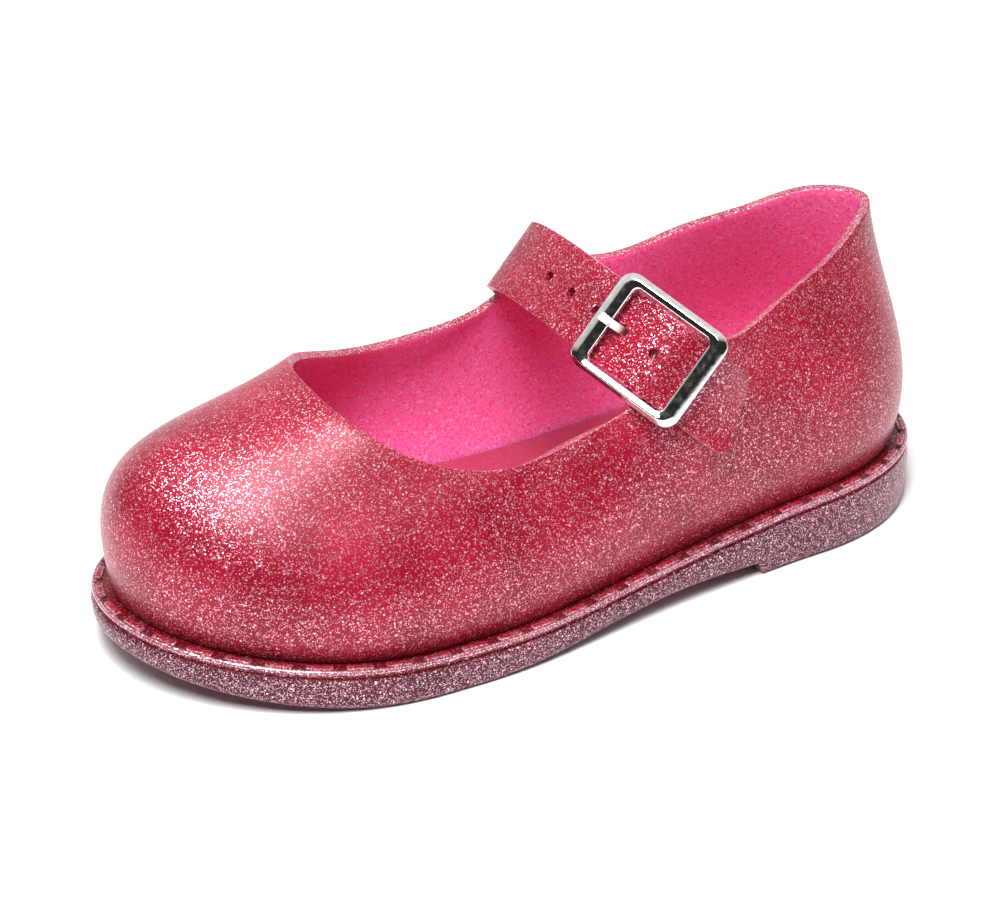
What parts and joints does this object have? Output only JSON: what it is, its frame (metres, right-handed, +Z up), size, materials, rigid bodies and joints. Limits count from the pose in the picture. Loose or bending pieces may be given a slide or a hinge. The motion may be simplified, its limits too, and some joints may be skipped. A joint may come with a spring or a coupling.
{
  "type": "jelly mary jane shoe",
  "caption": "Child's left closed-toe jelly shoe: hollow moulded upper with an instep strap and metal buckle, on a moulded sole with welt and low heel.",
  "frame": {"origin": "on the floor under the middle of the shoe's overall length and width", "axes": "+X towards the toe, +Y towards the outer side of the left foot, +Z up"},
  "size_m": [0.1704, 0.0727, 0.0629],
  "materials": {
    "sole_jelly": "glitter-filled soft vinyl, dusky mauve pink, satin gloss",
    "insole": "soft vinyl sheet, rose pink, satin",
    "jelly": "translucent glitter-filled soft vinyl, crimson pink, glossy",
    "frame_metal": "polished plated metal",
    "prong_metal": "polished plated metal"
  },
  "bodies": {
    "root": {"outsole": "sole_jelly", "insole": "insole", "upper": "jelly", "buckle_frame": "frame_metal", "buckle_prong": "prong_metal"}
  },
  "joints": []
}
